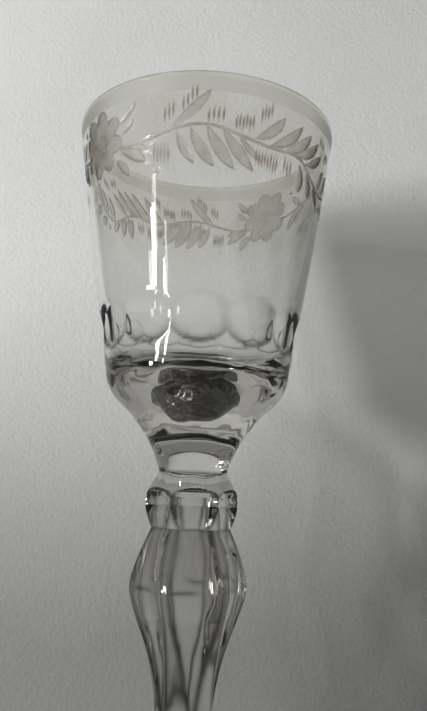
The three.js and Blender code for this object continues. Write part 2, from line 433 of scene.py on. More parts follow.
def makeEngravedGlass(name, look, cut):
    # clear glass, with the engraving's matte where the carved border lies, painted shade at the matte's
    # edges and in the deep strokes, and a satin band under the rim
    material, tree, shader = startGlass(name, look["colour"])
    wear = addWear(tree, look)
    place = readPlace(tree)
    height = splitPlace(tree, place)["Z"]
    drop = addMath(tree, "SUBTRACT", cut["rimHeight"] * mm, height)
    streaks = addNoise(tree, place, *cut["streaks"])
    wander = times(tree, addMath(tree, "SUBTRACT", streaks, 0.5), cut["ragged"] * mm)
    edgeDrop = addMath(tree, "ADD", drop, wander)
    band = times(tree, rampBetween(tree, edgeDrop, cut["bandTop"]),
                 rampBetween(tree, edgeDrop, cut["bandBottom"]))
    band = times(tree, band, readAttribute(tree, "outside"))
    satin = times(tree, band, addRamp(tree, streaks, *cut["satinRange"]))
    carved = readAttribute(tree, "carving")
    grain = addGroup(tree, grindGrain, Coarseness=1.0)
    tree.links.new(addRamp(tree, carved, *cut["maskRange"]), grain.inputs["Mask"])
    dull = times(tree, satin, cut["satinRough"])
    rough = addMath(tree, "ADD", wear.outputs["Roughness"], dull)
    rough = addMath(tree, "MAXIMUM", rough, grain.outputs["Roughness"], True)
    tree.links.new(rough, shader.inputs["Roughness"])
    cloud = addRamp(tree, addNoise(tree, place, *cut["cloud"]), *cut["cloudRange"])
    film = times(tree, cloud, rampBetween(tree, drop, cut["filmHeights"]))
    # painted shade: the matte is darker towards the edges of each carved stroke
    ground = mixColour(tree, addRamp(tree, carved, *cut["matteRange"]), cut["paintedMatteEdgeShade"], cut["matte"])
    colour = dustAndPaintedShadeColour(tree, wear, look)
    colour = mixColour(tree, film, colour, cut["film"])
    colour = mixColour(tree, satin, colour, cut["band"])
    colour = mixColour(tree, grain.outputs["Tone"], colour, ground)
    # painted shade in the deep strokes
    colour = mixColour(tree, readAttribute(tree, "deepCutShade"), colour, cut["deep"])
    tree.links.new(colour, shader.inputs["Base Color"])
    # the thick lower wall is uneven, from the lenses' lower edges down to a little above the joint
    low = times(tree, rampBetween(tree, height, cut["swirlTop"]),
                rampBetween(tree, height, cut["swirlFoot"]))
    swirl = times(tree, addNoise(tree, place, *cut["swirlNoise"]), low)
    waved = addBump(tree, wear.outputs["Height"], look["bump"] * mm)
    waved = addBump(tree, swirl, cut["swirl"] * mm, None, waved)
    addBump(tree, grain.outputs["Height"], cut["grainHeight"] * mm, shader, waved)
    addBody(tree)
    return material


# the dark sheet in the well is painted shade
wellShadeLook = {
    "dark": (0.012, 0.009, 0.007), "brown": (0.05, 0.032, 0.02), "roughness": 0.07, "ior": 2.2,
    "Waves": 1.0, "Lines": 0.5, "Scratches": 0.4, "Specks": 1.0,
    "patches": ((1, 1, 1.5), 240, 3.0), "patchRange": (0.45, 0.7),
    "blisters": ((1, 1, 1), 520, 1.0), "bump": 0.9,
}


def makeWellShadeSheet(name, look):
    # painted shade: a dark glossy sheet in the small well, mottled brown and unevenly thick
    material, tree, shader = startGlass(name, look["dark"])
    shader.inputs["Transmission Weight"].default_value = 0.0
    shader.inputs["IOR"].default_value = look["ior"]
    wear = addWear(tree, look)
    place = readPlace(tree)
    patches = addRamp(tree, addNoise(tree, place, *look["patches"]), *look["patchRange"])
    tree.links.new(mixColour(tree, patches, look["dark"], look["brown"]), shader.inputs["Base Color"])
    rough = addMath(tree, "ADD", wear.outputs["Roughness"], look["roughness"])
    tree.links.new(rough, shader.inputs["Roughness"])
    blisters = addNoise(tree, place, *look["blisters"])
    addBump(tree, addMath(tree, "ADD", blisters, patches), look["bump"] * mm, shader)
    return material


def makeFused(name):
    # where two gathers are melted together there is no surface, so light goes straight on
    material, tree, shader = startGlass(name, (1, 1, 1))
    shader.inputs["Transmission Weight"].default_value = 0.0
    shader.inputs["Alpha"].default_value = 0.0
    return material


clearGlass = makeClearGlass("clearGlass", clearLook)
footGlass = makeClearGlass("wornFootGlass", dict(clearLook, Scratches=0.9, Specks=0.7, swirl=0.15))
engravedGlass = makeEngravedGlass("engravedGlass", clearLook, engravedLook)
wellShadeSheet = makeWellShadeSheet("wellPaintedShade", wellShadeLook)
fused = makeFused("fusedJoint")
print("materials made")


def setFinish(piece, glass, joints, extra=None, isExtra=None):
    # joint discs are the flat round faces at the fused heights; isExtra says where the extra finish lies
    piece.data.materials.clear()
    for material in (glass, fused, extra):
        if material:
            piece.data.materials.append(material)
    discs = 0
    for face in piece.data.polygons:
        atJoint = any(abs(face.center.z - height * mm) < ringSlack["own"] for height in joints)
        if atJoint and len(face.vertices) > discCorners:
            face.material_index = 1
            discs += 1
        elif extra and isExtra(face.center):
            face.material_index = 2
    print(piece.name, "faces", len(piece.data.polygons), "joint discs", discs)


# Bowl. Places are (radius, height) in mm, with heights from the bowl's bottom
bowlForm = {
    "bottom": 98.4, "height": 106.6, "joint": 10.0,
    "rimRadius": 40.0, "wallBulge": 0.45, "shoulder": (27.6, 29.6), "corner": (26.9, 22.6),
    "base": (23.3, 19.6), "sweep": (13.3, 12.2), "rimWall": 1.5, "lowerWall": 3.1,
    "cavityWall": 37.0, "floor": (16.5, 28.6), "wellEdge": (11.5, 28.6), "wellLip": (8.3, 28.6),
    "wellWall": (7.9, 26.6), "wellSide": (6.3, 22.4), "wellBottom": (4.4, 20.2), "wellPoint": (3.0, 19.3),
    # where the painted shade sheet in the well begins and ends
    "shadeSheetDrop": 0.25, "shadeSheetReach": 1.5, "shadeSheetBelow": 0.5,
    # the mesh: steps of its curves, columns round it and the spacing of its rows
    "outsideSteps": 40, "insideSteps": 24, "lipSteps": 8,
    "bandColumns": 720, "columns": 360, "insideColumns": 240, "bandDepth": 29.0, "bandRow": 0.44,
    "bandGap": 0.5, "lowTop": 52.0, "lowRow": 0.8, "wallRow": 2.6,
    "lipInside": 1.6, "insideStart": 2.6, "insideRow": 4.5, "floorRow": 0.8, "smoothUnder": 50,
}
lensForm = {
    "count": 12, "height": 40.6, "depth": 1.25, "wheel": 20.0, "soft": 0.22,
    # tone keys set the painted shade along the lenses' lower borders and the crests between them
    "tone": 0.88, "toneOut": 0.14, "toneIn": 0.5, "crestTone": 0.22, "crestReach": 0.35,
    "toneFrom": 3.0, "toneFade": 8.0, "toneLeast": 0.15, "toneBelow": 9.0,
}
tongueForm = {"depth": 0.8, "leave": 0.8, "top": 27.6, "tip": 12.0, "soft": 0.8, "runOut": 0.2, "least": 8.0}


def bowlOutside(form):
    rim = (form["rimRadius"], form["height"] - form["rimWall"] / 2)
    shoulder = form["shoulder"]
    steps = form["outsideSteps"]
    middle = ((shoulder[0] + rim[0]) / 2 + 2 * form["wallBulge"], (shoulder[1] + rim[1]) / 2)
    line = [(form["joint"], 0.0)] + bend((form["joint"], 0.0), form["sweep"], form["base"], steps)
    return line + bend(form["base"], form["corner"], shoulder, steps) + bend(shoulder, middle, rim, steps)


def bowlInside(form):
    steps = form["insideSteps"]
    top = (form["rimRadius"] - form["rimWall"], form["height"] - form["rimWall"] / 2)
    wallRadius = float(radiusAt(bowlOutside(form), form["cavityWall"])) - form["lowerWall"]
    wall = (wallRadius, form["cavityWall"])
    middle = ((top[0] + wall[0]) / 2 + 2 * form["wallBulge"], (top[1] + wall[1]) / 2)
    slope = (top[0] - wall[0]) / (top[1] - wall[1])
    corner = (wall[0] - slope * (form["cavityWall"] - form["floor"][1]), form["floor"][1])
    pole = (poleRadius, form["wellPoint"][1])
    line = [top] + bend(top, middle, wall, steps) + bend(wall, corner, form["floor"], steps)
    line += [form["wellEdge"]] + bend(form["wellEdge"], form["wellLip"], form["wellWall"], steps)
    line += bend(form["wellWall"], form["wellSide"], form["wellBottom"], steps)
    return line + bend(form["wellBottom"], form["wellPoint"], pole, steps)


def cutBowl(piece, form, lens, tongue):
    # the lenses and tongues are ground in: each surface is the lower one of the turned wall and the wheel's
    places = getPlaces(piece)
    height = places[:, 2] / mm - form["bottom"]
    radius = np.hypot(places[:, 0], places[:, 1]) / mm
    outside = bowlOutside(form)
    turn = turnFromFront(places)
    step = 2 * math.pi / lens["count"]
    away = turn - step * np.round(turn / step)
    beyond = step - abs(away)
    wallRise = form["height"] - form["rimWall"] / 2 - form["shoulder"][1]
    slope = (form["rimRadius"] - form["shoulder"][0]) / wallRise
    outward = np.array([1, -slope]) / math.hypot(1, slope)
    wall = np.array([radiusAt(outside, lens["height"]), lens["height"]])
    centre = wall + outward * (lens["wheel"] - lens["depth"])
    reach = np.clip(lens["wheel"] ** 2 - (height - centre[1]) ** 2, 0, None)
    wheel = (centre[0] - np.sqrt(reach)) / np.cos(away)
    beside = (centre[0] - np.sqrt(reach)) / np.cos(beyond)
    along = (height - tongue["tip"]) / (tongue["top"] - tongue["tip"])
    swing = np.sin(math.pi * np.clip(along, -tongue["runOut"], 1 + tongue["runOut"]))
    sink = (tongue["depth"] + tongue["leave"]) * swing - tongue["leave"]
    turned = radiusAt(outside, height)
    floor = (turned - sink) / np.cos(away)
    floorBeside = (turned - sink) / np.cos(beyond)
    # painted shade along the lenses' lower borders and the crests between them
    nearest = np.minimum(wheel, beside)
    border = nearest - radius
    lower = np.clip((lens["height"] + lens["toneFrom"] - height) / lens["toneFade"], lens["toneLeast"], 1)
    lower = lower * (height > lens["height"] - lens["toneBelow"])
    width = np.where(border < 0, lens["toneIn"], lens["toneOut"])
    tone = np.exp(-(border / width) ** 2) * lower * lens["tone"]
    crest = np.exp(-((abs(away) - step / 2) * radius / lens["crestReach"]) ** 2) * (nearest < radius)
    tone = np.maximum(tone, crest * lens["crestTone"])
    setPaintedShade(piece, np.maximum(tone, jointShade(height, 0)))
    shaped = softLeast(radius, softLeast(wheel, beside, lens["soft"]), lens["soft"])
    shaped = softLeast(shaped, softLeast(floor, floorBeside, tongue["soft"]), tongue["soft"])
    setRadius(piece, places, np.where(height > tongue["least"], shaped, radius) * mm)


# The carved border: a wavy stem with leaves, two flowers and groups of short strokes
borderForm = {
    "flowerTurns": (-54.0, 142.0),   # degrees from the front
    "radius": 38.5, "halfLength": 131.7, "depth": 0.3, "steepness": 0.55,
    "behind": 12.0,   # degrees that a half reaches behind its flower
    "near": 3.0, "skin": 0.3, "deepEdge": 0.25, "deepStart": 0.6,
    "flowerDrop": 15.0, "flower": 9.8, "denseFlower": 10.4, "stemWidth": 1.0, "leafWidth": 1.3,
    "smallStart": 2.0, "smallShift": 2.1, "smallLength": (0.6, 0.62), "smallWidth": 0.6, "smallBow": 0.5,
    # places are in mm from the flower's middle, and down from the rim
    "stem": [
        (6.5, 17.5), (12, 19.2), (18, 18.4), (25.7, 16.4), (31, 15.0), (36, 14.7), (40.5, 15.4),
        (44.5, 16.7), (52, 18.3), (58, 18.4), (64, 17.6), (69, 18.6), (73, 21.5), (79, 24.0), (86, 23.2),
        (93, 19.6), (100, 16.2), (107, 14.6), (114, 15.4), (121, 17.2), (125, 17.4),
    ],
    # a leaf is its start, its end, its width and its bow
    "leaves": [
        ((9, 19.5), (18.5, 24.2), 2.6, -0.7), ((7, 21.5), (12.5, 27.2), 2.2, -0.4),
        ((12, 18.8), (19.5, 21.0), 1.6, -0.3), ((8.5, 12), (15.5, 6.6), 1.7, 0.5),
        ((10, 15), (14.5, 11.2), 1.3, 0.3), ((25.7, 15.6), (37.2, 4.9), 2.3, 0.9),
        ((49.4, 17.2), (59.4, 8.4), 2.5, 1.3), ((54.5, 18.0), (66.4, 8.6), 2.6, 1.4),
        ((60, 17.8), (71, 9.2), 2.6, 1.4), ((65, 17.6), (75.4, 10.0), 2.4, 1.3),
        ((69.5, 18.6), (78.5, 12.6), 2.2, 1.0), ((31.4, 15.6), (38.8, 26.4), 2.7, 0.7),
        ((36.0, 14.9), (44.6, 26.6), 2.9, 0.7), ((40.4, 15.4), (50.6, 26.2), 2.8, 0.7),
        ((27.6, 16.4), (33.0, 25.8), 2.2, 0.6), ((45.0, 17.0), (52.4, 23.0), 1.6, 0.4),
        ((66.5, 19.5), (67.5, 27.5), 2.4, -0.8), ((70.5, 21), (73.0, 27.8), 2.3, -0.8),
        ((75, 23.6), (80.5, 28.0), 2.0, -0.5), ((79, 23.4), (83.2, 15.6), 2.2, -0.7),
        ((84, 23.0), (89.5, 14.6), 2.3, -0.8), ((89.5, 21.0), (95.0, 12.4), 2.3, -0.8),
        ((86, 24.0), (92.6, 27.6), 2.1, 0.5), ((91.5, 21.6), (99.0, 25.8), 2.3, 0.6),
        ((97, 18.6), (105.0, 23.4), 2.3, 0.6), ((100, 15.8), (107.4, 8.0), 2.2, 0.8),
        ((105.5, 14.6), (113.0, 7.6), 2.1, 0.8), ((110, 15.6), (116.5, 21.6), 2.2, -0.4),
        ((115.5, 16.6), (119.5, 23.6), 2.2, -0.5), ((113, 14.6), (119.6, 10.0), 1.9, 0.6),
    ],
    # a dot is its place and its radius
    "dots": [
        (84.5, 27.2, 0.9), (95.5, 9.6, 0.85), (99.5, 28.0, 0.7), (120.5, 8.4, 0.8), (22.0, 27.0, 0.7),
    ],
    # a group of strokes is its place, count, width, height and rise
    "hatches": [
        (25.6, 11.2, 3, 2.4, 4.2, 1.0), (31.4, 7.6, 4, 3.6, 4.2, 3.4), (38.6, 12.0, 4, 4.0, 3.8, 0.6),
        (46.7, 13.2, 6, 4.8, 4.0, 0.8), (53.0, 9.2, 4, 2.9, 4.4, 1.6), (23.2, 22.4, 5, 4.2, 5.0, -0.4),
        (54.2, 22.4, 8, 6.8, 5.2, -0.6), (61.8, 22.0, 3, 2.4, 4.6, -0.4), (78.0, 9.2, 4, 3.2, 3.6, -1.2),
        (83.5, 11.2, 4, 3.2, 3.6, 0.8), (103.4, 27.0, 4, 3.0, 3.0, 0.4), (109.4, 25.2, 5, 4.2, 4.2, -0.6),
    ],
}
strokeForm = {
    "least": 0.12, "round": 0.9, "leafFullest": 0.55, "leafCircles": 26,
    "hatchWidth": 0.62, "hatchFullest": 0.5, "hatchCircles": 14,
    "wobble": 0.35, "wobblePace": 2.7, "slant": 0.12, "shorten": 0.5,
    "lineStep": 0.25, "lineSmooth": 12,
}
flowerForm = {   # petals of each kind, as parts of the flower's size
    "count": 8, "eye": 0.3, "pace": 3.1,
    "outer": {"turn": 12, "root": 0.26, "tip": 1.0, "squash": 0.92, "width": 0.54, "bow": 0.25,
              "fullest": 0.62, "uneven": 0.06},
    "inner": {"turn": 34.5, "root": 0.2, "tip": 0.72, "squash": 1.0, "width": 0.34, "bow": 0,
              "fullest": 0.6, "uneven": 0},
}


def leafStroke(start, end, width, bow, fullest=strokeForm["leafFullest"], count=strokeForm["leafCircles"]):
    # circles along a bowed line, thin at both ends
    (x0, y0), (x1, y1) = start, end
    length = math.hypot(x1 - x0, y1 - y0)
    t = np.linspace(0, 1, count)
    x = x0 + (x1 - x0) * t - (y1 - y0) / length * bow * 4 * t * (1 - t)
    y = y0 + (y1 - y0) * t + (x1 - x0) / length * bow * 4 * t * (1 - t)
    growing = np.sin(math.pi / 2 * t / fullest)
    shape = np.where(t < fullest, growing, np.cos(math.pi / 2 * (t - fullest) / (1 - fullest)))
    return np.stack([x, y, np.maximum(strokeForm["least"], width / 2 * shape ** strokeForm["round"])], 1)


def lineStroke(points, width):
    # circles of one size along a line whose corners are smoothed
    points = np.array(points, float)
    along = np.concatenate([[0], np.cumsum(np.hypot(*np.diff(points, axis=0).T))])
    t = np.linspace(0, along[-1], int(along[-1] / strokeForm["lineStep"]) + 2)
    side = strokeForm["lineSmooth"]
    span = 2 * side + 1
    smooth = [np.interp(t, along, points[:, k]) for k in (0, 1)]
    smooth = [np.convolve(np.pad(line, side, "edge"), np.ones(span) / span, "valid") for line in smooth]
    return np.stack([*smooth, np.full(len(t), width / 2)], 1)


def hatchStrokes(x, y, count, width, height, rise):
    # a group of short upright strokes, each a little unlike the next
    form = strokeForm
    strokes = []
    for i in range(count):
        place = i / max(1, count - 1) - 0.5
        across = x + width * place
        wobble = form["wobble"] * math.sin(form["wobblePace"] * i + x)
        top = y - height / 2 - rise * place + wobble
        foot = (across - form["slant"], top + height - form["shorten"] * abs(wobble))
        strokes.append(leafStroke(
            (across, top), foot, form["hatchWidth"], 0, form["hatchFullest"], form["hatchCircles"]))
    return strokes


def flowerStrokes(x, y, size, form):
    strokes = []
    for petal in (form["outer"], form["inner"]):
        for i in range(form["count"]):
            angle = math.radians(360 / form["count"] * i + petal["turn"])
            reach = size * petal["tip"] * (1 + petal["uneven"] * math.sin(form["pace"] * i))
            tip = (x + reach * math.cos(angle), y + reach * math.sin(angle) * petal["squash"])
            start = size * petal["root"]
            root = (x + start * math.cos(angle), y + start * math.sin(angle))
            strokes.append(leafStroke(root, tip, size * petal["width"], petal["bow"], petal["fullest"]))
    strokes.append(np.array([[x, y, size * form["eye"]]]))
    return strokes


def halfBorder(border, dense):
    # soft and deep strokes of one half; the dense half has a small leaf beside each leaf
    size = border["denseFlower"] if dense else border["flower"]
    soft = flowerStrokes(0, border["flowerDrop"], size, flowerForm)
    soft.append(lineStroke(border["stem"], border["stemWidth"]))
    for start, end, width, bow in border["leaves"]:
        soft.append(leafStroke(start, end, width * border["leafWidth"], bow))
        if dense:
            long, high = border["smallLength"]
            tip = (start[0] + border["smallShift"] + long * (end[0] - start[0]),
                   start[1] + high * (end[1] - start[1]))
            root = (start[0] + border["smallStart"], start[1])
            soft.append(leafStroke(root, tip, width * border["smallWidth"], bow * border["smallBow"]))
    soft += [np.array([dot]) for dot in border["dots"]]
    deep = []
    for group in border["hatches"]:
        deep += hatchStrokes(*group)
    return soft, deep


def carveBorder(piece, form, border):
    # how far each point lies inside a stroke sets the cut's depth, the matte's edge and the painted shade of
    # the deep strokes
    places = getPlaces(piece)
    height = places[:, 2] / mm
    radius = np.hypot(places[:, 0], places[:, 1])
    turn = np.degrees(turnFromFront(places))
    drop = (form["bottom"] + form["height"]) - height
    perDegree = math.radians(1) * border["radius"]
    inside = np.full(len(places), -1.0)
    deepCutShade = np.zeros(len(places))
    first, second = border["flowerTurns"]
    margin = border["near"]
    for begin, length, dense in ((first, second - first, False), (second, 360 - second + first, True)):
        soft, deep = halfBorder(border, dense)
        across = ((turn - begin + border["behind"]) % 360 - border["behind"]) * perDegree
        squeeze = length * perDegree / border["halfLength"]
        for stroke, isDeep in [(stroke, False) for stroke in soft] + [(stroke, True) for stroke in deep]:
            x, y, size = stroke[:, 0] * squeeze, stroke[:, 1], stroke[:, 2]
            beside = (across > x.min() - margin) & (across < x.max() + margin)
            near = np.nonzero(beside & (drop > y.min() - margin) & (drop < y.max() + margin))[0]
            if not len(near):
                continue
            away = np.hypot(across[near, None] - x, drop[near, None] - y)
            depth = (size - away).max(1)
            inside[near] = np.maximum(inside[near], depth)
            if isDeep:
                dark = np.clip(depth / border["deepEdge"] + border["deepStart"], 0, 1)
                deepCutShade[near] = np.maximum(deepCutShade[near], dark)
    wall = radiusAt(bowlOutside(form), height - form["bottom"])
    onOutside = radius > (wall - border["skin"]) * mm
    inside = np.where(onOutside, inside, -1.0)
    sink = np.clip(inside * border["steepness"], 0, border["depth"])
    setRadius(piece, places, radius - sink * mm)
    setAttribute(piece, "carving", np.clip(inside, -1, 1) + 1)
    setAttribute(piece, "deepCutShade", deepCutShade * onOutside)
    setAttribute(piece, "outside", onOutside * 1.0)


def makeBand(form, outside, inside):
    # the upper wall and the lip, with rows fine enough for the carving
    lip = form["rimWall"] / 2
    bandFoot = form["height"] - form["bandDepth"]
    footPoint = (float(radiusAt(outside, bandFoot)), bandFoot)
    line = spread([footPoint] + [point for point in outside if point[1] > bandFoot], form["bandRow"])
    for i in range(1, form["lipSteps"] + 1):
        angle = math.pi * i / form["lipSteps"]
        rise = form["height"] - lip + lip * math.sin(angle)
        line.append((form["rimRadius"] - lip + lip * math.cos(angle), rise))
    lipFoot = form["height"] - form["lipInside"]
    line.append((float(radiusAt(inside[::-1], lipFoot)), lipFoot))
    band = turnPiece("bowlBand", form["bandColumns"], lift(line, form["bottom"]), False, False)
    return band, line[0], line[-1]


def makeLowWall(form, outside):
    # the lower wall with its joint disc, up to just below the band
    top = form["height"] - form["bandDepth"] - form["bandGap"]
    lowLine = spread([point for point in outside if point[1] <= form["lowTop"]], form["lowRow"])
    wallLine = [lowLine[-1]] + [point for point in outside if form["lowTop"] < point[1] < top]
    wallLine.append((float(radiusAt(outside, top)), top))
    line = lowLine + spread(wallLine, form["wallRow"])[1:]
    low = turnPiece("bowlLow", form["columns"], lift(line, form["bottom"]), True, False)
    return low, wallLine[-1]


def makeHollow(form, inside):
    # the inner wall, the floor and the well, closed on the axis
    turnHeight = form["cavityWall"] - hair
    top = form["height"] - form["insideStart"]
    wallLine = [point for point in inside if turnHeight < point[1] < top]
    floorLine = [point for point in inside if point[1] <= turnHeight]
    line = spread(wallLine, form["insideRow"]) + spread([wallLine[-1]] + floorLine, form["floorRow"])[1:]
    line = lift(line, form["bottom"])
    hollow = turnPiece("bowlInside", form["insideColumns"], line, False, False)
    closeOnAxis(hollow, line[-1])
    return hollow, (line[0][0], line[0][1] - form["bottom"])


def makeBowl(form):
    outside, inside = bowlOutside(form), bowlInside(form)
    band, bandFoot, bandEnd = makeBand(form, outside, inside)
    carveBorder(band, form, borderForm)
    print("border carved")
    low, lowEnd = makeLowWall(form, outside)
    cutBowl(low, form, lensForm, tongueForm)
    print("lenses cut")
    hollow, hollowStart = makeHollow(form, inside)
    bpy.ops.object.select_all(action="DESELECT")
    for part in (band, low, hollow):
        part.select_set(True)
    bpy.context.view_layer.objects.active = band
    bpy.ops.object.join()
    band.name = "engravedBowl"
    for rings in ((bandFoot, lowEnd), (bandEnd, hollowStart)):
        selectRings(band, lift(rings, form["bottom"]), ringSlack["joined"])
        bpy.ops.mesh.bridge_edge_loops()
        bpy.ops.object.mode_set(mode="OBJECT")
    finishPiece(band, form["smoothUnder"])
    return band


def inShadedWell(centre):
    # the faces that the painted shade in the well covers
    top = (bowlForm["bottom"] + bowlForm["wellLip"][1] - bowlForm["shadeSheetDrop"]) * mm
    foot = (bowlForm["bottom"] + bowlForm["wellPoint"][1] - bowlForm["shadeSheetBelow"]) * mm
    reach = (bowlForm["wellLip"][0] + bowlForm["shadeSheetReach"]) * mm
    return foot < centre.z < top and math.hypot(centre.x, centre.y) < reach


bowl = makeBowl(bowlForm)
setFinish(bowl, engravedGlass, [bowlForm["bottom"]], wellShadeSheet, inShadedWell)
print("bowl done")


# Knop and stem share the six facets
facetForm = {
    "count": 6, "soft": 0.22, "endSlack": 1e-4,
    # the crease keys set the painted shade at the widest place
    "creaseReach": 0.75, "crease": 0.85, "creaseInside": 0.5, "creaseSide": 0.7, "creaseFade": 0.25,
}
knopForm = {
    "bottom": 82.5, "height": 15.9, "foot": 11.6, "top": 10.0,
    "widest": (13.7, 7.8), "under": 4.5, "shoulder": 10.5, "steps": 24, "row": 0.3, "crease": None,
    "half": ((0, 3, 6.5, 9, 10.5, 11.5, 12), (4.1, 5.6, 6.9, 6.9, 5.5, 1.5, 0)),
    "wheel": ((0, 12), (12, 12)),
    "lean": ((0, 9), (0.063, 0.07)),
    # tone sets the painted shade along the facets' edges, by height
    "tone": ((0, 3, 9, 11, 12), (0.7, 0.95, 0.95, 0.35, 0)), "toneReach": 1.25,
}
stemForm = {
    "bottom": 25.0, "height": 57.5, "foot": 7.5, "waist": (7.2, 3.5), "narrow": (8.1, 8.7),
    "taper": (9.2, 19.4), "flank": (13.5, 29.7), "widest": (17.0, 41.0), "lower": 38.0, "upper": 45.8,
    "top": 11.6, "steps": (16, 32, 20, 30), "row": 0.4, "crease": 41.0,
    "half": ((7.7, 9, 16.3, 25.9, 32.7, 38, 41, 44, 46, 50, 57.5),
             (0, 0.7, 2.2, 4.4, 6.5, 7.4, 7.65, 7.3, 6.9, 6.1, 4.9)),
    "wheel": ((9, 16, 26, 33, 41, 57.5), (6, 8, 11, 15, 20, 20)),
    # hand-cut facets wander to one side
    "lean": ((8, 16, 26, 33, 41, 57.5), (0.3, 0.236, 0.183, 0.157, 0.13, 0.105)),
    # tone sets the painted shade along the facets' edges, by height
    "tone": ((4, 8, 30, 41, 50, 57.5), (0, 1.0, 1.0, 0.75, 0.65, 0.8)), "toneReach": 1.2,
}
columnCount = 360


def hollowRadius(flat, half, wheel, away):
    # where a ray from the axis meets the upright wheel that ground a facet of this half width
    axis = flat + np.sqrt(np.clip(wheel ** 2 - half ** 2, 0, None))
    reach = wheel ** 2 - (axis * np.sin(away)) ** 2
    radius = axis * np.cos(away) - np.sqrt(np.clip(reach, 0, None))
    return np.where((reach > 0) & (np.cos(away) > 0), radius, farOut)


def cutFacets(piece, form, facet, profile):
    places = getPlaces(piece)
    height = places[:, 2] / mm - form["bottom"]
    radius = radiusAt(profile, height)
    half, wheel, lean, shade = [np.interp(height, *form[name]) for name in ("half", "wheel", "lean", "tone")]
    flat = np.sqrt(radius ** 2 - half ** 2)
    turn = turnFromFront(places) - lean
    step = 2 * math.pi / facet["count"]
    away = turn - step * np.round(turn / step)
    beside = hollowRadius(flat, half, wheel, step - abs(away))
    face = softLeast(hollowRadius(flat, half, wheel, away), beside, facet["soft"])
    shaped = softLeast(radius, face, facet["soft"])
    low, high = form["half"][0][0], form["half"][0][-1]
    inRange = (height >= low - facet["endSlack"]) & (height <= high + facet["endSlack"])
    # painted shade along the facets' edges, at the crease at the widest place and at the joints
    edge = (abs(away) - np.arcsin(half / radius)) * radius
    tone = np.exp(-(edge / form["toneReach"]) ** 2) * shade
    if form["crease"]:
        inside = np.clip(-edge / facet["creaseInside"], 0, 1)
        inside = inside * np.clip(facet["creaseSide"] - away / facet["creaseFade"], 0, 1)
        crease = np.exp(-((height - form["crease"]) / facet["creaseReach"]) ** 2) * facet["crease"]
        tone = np.maximum(tone, crease * inside)
    for joint in (form["height"], 0):
        tone = np.maximum(tone, jointShade(height, joint))
    setPaintedShade(piece, tone)
    setRadius(piece, places, np.where(inRange, shaped, radius) * mm)


def knopProfile(form):
    # from the lower disc out to the widest place, and in again to the upper disc
    foot, top, widest = (form["foot"], 0.0), (form["top"], form["height"]), form["widest"]
    line = [foot] + bend(foot, (widest[0], form["under"]), widest, form["steps"])
    return line + bend(widest, (widest[0], form["shoulder"]), top, form["steps"])


def stemProfile(form):
    # up from the narrow foot to the widest place, and in again to the upper disc
    top, widest = (form["top"], form["height"]), form["widest"]
    throughs = (form["waist"], form["taper"], (widest[0], form["lower"]), (widest[0], form["upper"]))
    ends = (form["narrow"], form["flank"], widest, top)
    line = [(form["foot"], 0.0)]
    for through, end, steps in zip(throughs, ends, form["steps"]):
        line += bend(line[-1], through, end, steps)
    return line


def makeTurned(name, form, line, facet=None):
    piece = turnPiece(name, columnCount, lift(spread(line, form["row"]), form["bottom"]))
    if facet:
        cutFacets(piece, form, facet, line)
    finishPiece(piece)
    return piece


knop = makeTurned("roundKnop", knopForm, knopProfile(knopForm), facetForm)
setFinish(knop, clearGlass, [knopForm["bottom"], bowlForm["bottom"]])
stem = makeTurned("balusterStem", stemForm, stemProfile(stemForm), facetForm)
setFinish(stem, clearGlass, [stemForm["bottom"], knopForm["bottom"]])
print("knop and stem done")


# Base knop and foot
baseKnopForm = {
    "bottom": 17.0, "height": 8.0, "foot": 9.0, "top": 7.5, "widest": (11.5, 4.0), "under": 1.2,
    "shoulder": 7.4, "steps": 16, "row": 0.4,
}
footForm = {
    "height": 17.0, "joint": 9.0, "edge": (38.0, 1.6), "edgeTop": 3.2, "rest": (34.0, 36.8), "shelf": 34.0,
    "sweep": (12.0, 6.2), "hollow": (9.0, 3.6), "dimple": 4.8, "dimpleSide": 5.0, "under": (21.5, 1.75),
    "steps": (8, 16, 6, 12, 40),
}


def makeFoot(form):
    # from the dimple's middle under the foot, out over the resting ring, and up to the joint
    pole, restIn, restOut = (poleRadius, form["dimple"]), (form["rest"][0], 0.0), (form["rest"][1], 0.0)
    edge, edgeTop = form["edge"], (form["shelf"], form["edgeTop"])
    dimpleSteps, underSteps, edgeSteps, topSteps, sweepSteps = form["steps"]
    line = [pole] + bend(pole, (form["dimpleSide"], form["dimple"]), form["hollow"], dimpleSteps)
    line += bend(form["hollow"], form["under"], restIn, underSteps) + [restOut]
    line += bend(restOut, (edge[0], 0.0), edge, edgeSteps)
    line += bend(edge, (edge[0], form["edgeTop"]), edgeTop, topSteps)
    line += bend(edgeTop, form["sweep"], (form["joint"], form["height"]), sweepSteps)
    piece = turnPiece("roundFoot", columnCount, line, False, True)
    closeOnAxis(piece, pole)
    finishPiece(piece)
    return piece


baseKnop = makeTurned("baseKnop", baseKnopForm, knopProfile(baseKnopForm))
setFinish(baseKnop, clearGlass, [baseKnopForm["bottom"], stemForm["bottom"]])
foot = makeFoot(footForm)
setFinish(foot, footGlass, [baseKnopForm["bottom"]])
print("base knop and foot done")

for piece, node in ((bowl, "bowl"), (knop, "knop"), (stem, "baluster_stem"),
                    (baseKnop, "base_knop"), (foot, "foot")):
    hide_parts(node)
    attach(piece, "root")


# Stage, light and camera
stageForm = {   # lengths in metres
    "wallY": 0.085, "wallTop": 0.6, "half": 0.7, "front": -1.0,
    "colour": (0.78, 0.79, 0.78), "shade": (0.30, 0.30, 0.295),
    "litHeights": (0.0, 0.21), "litSides": (0.3, 0.1), "floorEdge": (0.084, 0.083),
    "clearSides": (0.115, 0.17), "clearHeights": (0.36, 0.5),
    "clouds": ((1, 1, 1), 14, 3.0), "cloudRange": (0.3, 0.7), "cloud": 0.08,
    "plaster": ((1, 1, 1), 620, 4.0), "plasterHeight": 0.00035,
}


